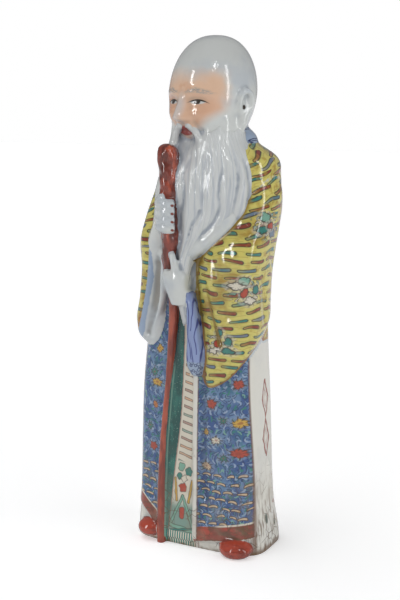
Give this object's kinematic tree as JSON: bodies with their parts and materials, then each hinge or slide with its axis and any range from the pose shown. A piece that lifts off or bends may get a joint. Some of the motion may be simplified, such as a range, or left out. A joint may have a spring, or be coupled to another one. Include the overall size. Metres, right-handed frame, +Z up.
{
  "type": "porcelain longevity god figurine",
  "caption": "Tall one-piece glazed porcelain figure of the longevity god: bald domed head, long beard, wide sleeves, staff held to the chest, flat foot to stand on a shelf.",
  "frame": {"origin": "centre of the flat underside, below the middle of the foot", "axes": "+Z up; the figure faces -Y; +X is the figure's own left"},
  "size_m": [0.128, 0.1032, 0.45],
  "materials": {
    "glazed_porcelain": "glossy white glaze with painted enamels, unglazed at the foot rim"
  },
  "bodies": {
    "root": {"figurine": "glazed_porcelain"}
  },
  "joints": []
}
